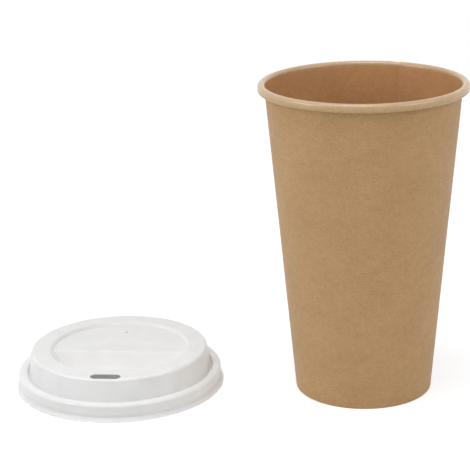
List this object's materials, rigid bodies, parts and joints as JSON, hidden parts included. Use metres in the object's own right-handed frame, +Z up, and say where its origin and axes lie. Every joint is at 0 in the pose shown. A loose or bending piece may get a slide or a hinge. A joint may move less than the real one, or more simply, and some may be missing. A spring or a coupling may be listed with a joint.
{
  "type": "paper coffee cup",
  "caption": "Tapered kraft-paper hot cup with a rolled rim and a folded foot, and its thin plastic sip lid lying beside it.",
  "frame": {"origin": "centre of the cup's foot, on the surface that the cup stands on", "axes": "+Z up along the cup's axis, -Y to the front, where the lid's drinking slot points, the lid towards -X"},
  "size_m": [0.2017, 0.0934, 0.138],
  "materials": {
    "kraft_paper": "uncoated kraft board",
    "white_plastic": "satin"
  },
  "bodies": {
    "root": {"paper_sidewall": "kraft_paper", "paper_bottom": "kraft_paper", "sip_lid": "white_plastic"}
  },
  "joints": []
}
